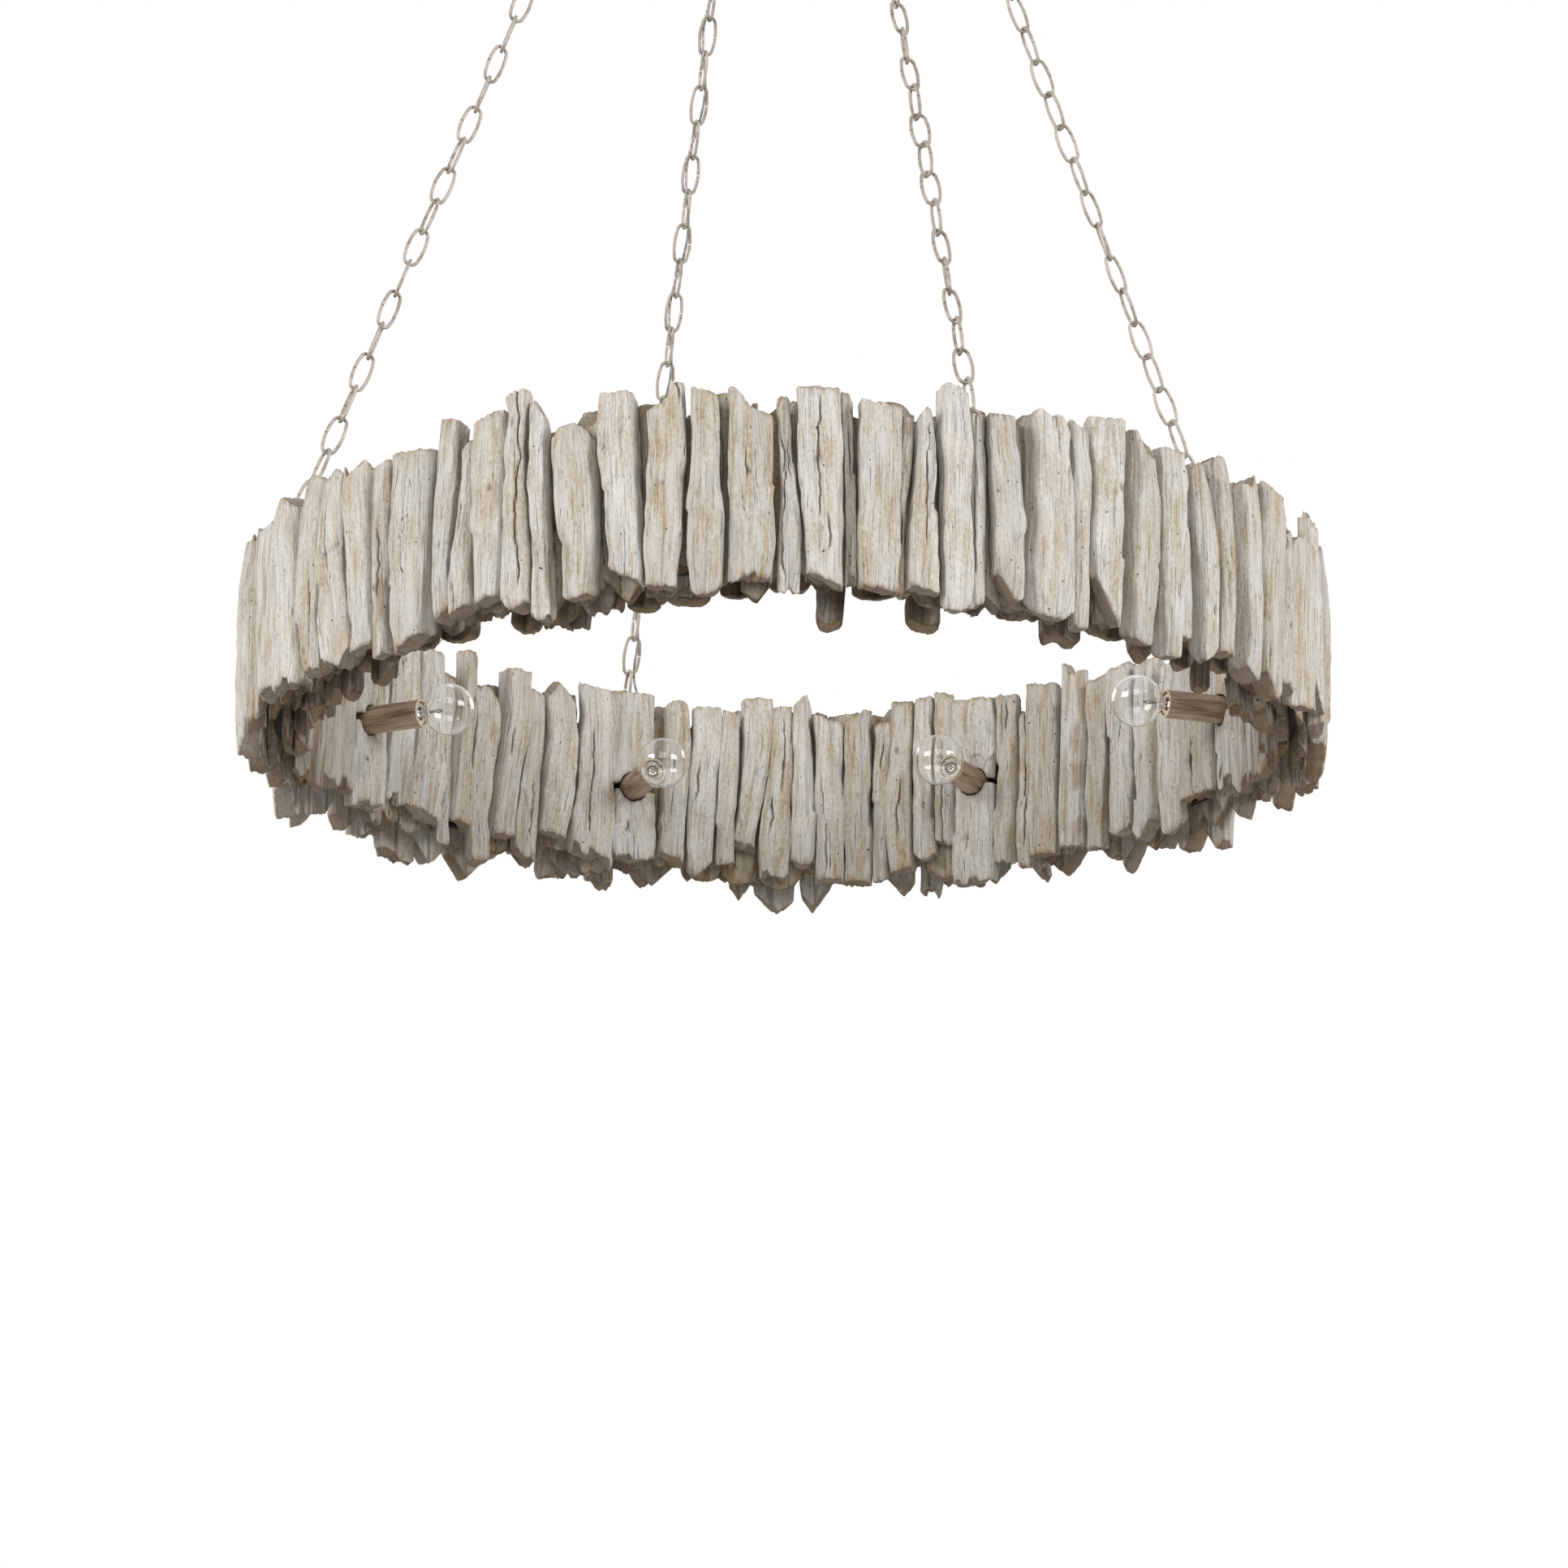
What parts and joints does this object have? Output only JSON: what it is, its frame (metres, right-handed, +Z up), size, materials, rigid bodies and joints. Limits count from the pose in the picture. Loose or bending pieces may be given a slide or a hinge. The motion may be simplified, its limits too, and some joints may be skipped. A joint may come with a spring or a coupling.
{
  "type": "driftwood chandelier",
  "caption": "Ring chandelier of upright driftwood sticks on steel hoops, hung by chains from a ceiling canopy, with candle sockets and globe bulbs that point into the ring.",
  "frame": {"origin": "ceiling plane at the canopy's centre, midway between the two ceiling box screws", "axes": "+Z up to the ceiling, +X to the right and -Y towards a viewer in front; the box screws lie along X"},
  "size_m": [1.0549, 1.0575, 1.556],
  "materials": {
    "whitewashed_driftwood": "sun-bleached and whitewashed, open grain",
    "grey_driftwood": "sun-bleached, unpainted",
    "brown_wood": "stained and grained",
    "champagne_paint": "champagne silver paint with brown wear",
    "black_steel": "matte black",
    "zinc_steel": "zinc plated",
    "brass": "plain",
    "black_plastic": "moulded",
    "clear_cord": "clear sheath over a silvery conductor",
    "clear_glass": "clear blown glass"
  },
  "bodies": {
    "canopy": {"ceiling_canopy": "champagne_paint", "mounting_crossbar": "zinc_steel", "crossbar_nipple": "zinc_steel", "canopy_locknut": "zinc_steel", "collar_ring": "champagne_paint", "collar_loop": "champagne_paint", "supply_cord_entry": "clear_cord"},
    "top_link": {"top_link": "champagne_paint", "cord_flex_upper": "clear_cord"},
    "fixture": {"hub_eye": "champagne_paint", "hub_nut": "champagne_paint", "hub_ring": "champagne_paint", "chain_right": "champagne_paint", "chain_front": "champagne_paint", "chain_left": "champagne_paint", "chain_back": "champagne_paint", "cord_flex_lower": "clear_cord", "supply_cord": "clear_cord", "ring_splice": "black_plastic", "upper_hoop": "black_steel", "lower_hoop": "black_steel", "hoop_uprights": "black_steel", "chain_eyes": "champagne_paint", "candle_sleeves": "brown_wood", "lamp_holders": "black_plastic", "screw_shells": "brass", "centre_contacts": "brass", "socket_nipples": "zinc_steel", "socket_locknuts": "zinc_steel", "ring_harness": "clear_cord", "socket_wires": "clear_cord", "outer_sticks_left": "whitewashed_driftwood", "brads": "zinc_steel", "outer_sticks_front": "whitewashed_driftwood", "outer_sticks_right": "whitewashed_driftwood", "outer_sticks_back": "whitewashed_driftwood", "inner_sticks_left": "whitewashed_driftwood", "inner_sticks_back": "whitewashed_driftwood", "inner_sticks_right": "whitewashed_driftwood", "inner_sticks_front": "whitewashed_driftwood", "outer_backing": "grey_driftwood", "inner_backing": "grey_driftwood"},
    "bulb_1": {"bulb_1_glass": "clear_glass", "bulb_1_base": "brass"},
    "bulb_2": {"bulb_2_glass": "clear_glass", "bulb_2_base": "brass"},
    "bulb_3": {"bulb_3_glass": "clear_glass", "bulb_3_base": "brass"},
    "bulb_4": {"bulb_4_glass": "clear_glass", "bulb_4_base": "brass"},
    "bulb_5": {"bulb_5_glass": "clear_glass", "bulb_5_base": "brass"},
    "bulb_6": {"bulb_6_glass": "clear_glass", "bulb_6_base": "brass"},
    "bulb_7": {"bulb_7_glass": "clear_glass", "bulb_7_base": "brass"},
    "bulb_8": {"bulb_8_glass": "clear_glass", "bulb_8_base": "brass"}
  },
  "joints": [
    {"name": "swing_front_back", "type": "hinge", "parent": "canopy", "child": "top_link", "pos_m": [0, 0, -0.0811], "axis": [1, 0, 0], "range_deg": [-12, 12], "deforming": ["cord_flex_upper"]},
    {"name": "swing_side", "type": "hinge", "parent": "top_link", "child": "fixture", "pos_m": [0, 0, -0.1213], "axis": [0, 1, 0], "range_deg": [-12, 12], "deforming": ["cord_flex_lower"]},
    {"name": "bulb_1_pull", "type": "slide", "parent": "fixture", "child": "bulb_1", "axis": [0.9063, -0.4226, 0], "range_m": [0, 0.03]},
    {"name": "bulb_2_pull", "type": "slide", "parent": "fixture", "child": "bulb_2", "axis": [0.342, -0.9397, 0], "range_m": [0, 0.03]},
    {"name": "bulb_3_pull", "type": "slide", "parent": "fixture", "child": "bulb_3", "axis": [-0.4226, -0.9063, 0], "range_m": [0, 0.03]},
    {"name": "bulb_4_pull", "type": "slide", "parent": "fixture", "child": "bulb_4", "axis": [-0.9397, -0.342, 0], "range_m": [0, 0.03]},
    {"name": "bulb_5_pull", "type": "slide", "parent": "fixture", "child": "bulb_5", "axis": [-0.9063, 0.4226, 0], "range_m": [0, 0.03]},
    {"name": "bulb_6_pull", "type": "slide", "parent": "fixture", "child": "bulb_6", "axis": [-0.342, 0.9397, 0], "range_m": [0, 0.03]},
    {"name": "bulb_7_pull", "type": "slide", "parent": "fixture", "child": "bulb_7", "axis": [0.4226, 0.9063, 0], "range_m": [0, 0.03]},
    {"name": "bulb_8_pull", "type": "slide", "parent": "fixture", "child": "bulb_8", "axis": [0.9397, 0.342, 0], "range_m": [0, 0.03]}
  ]
}
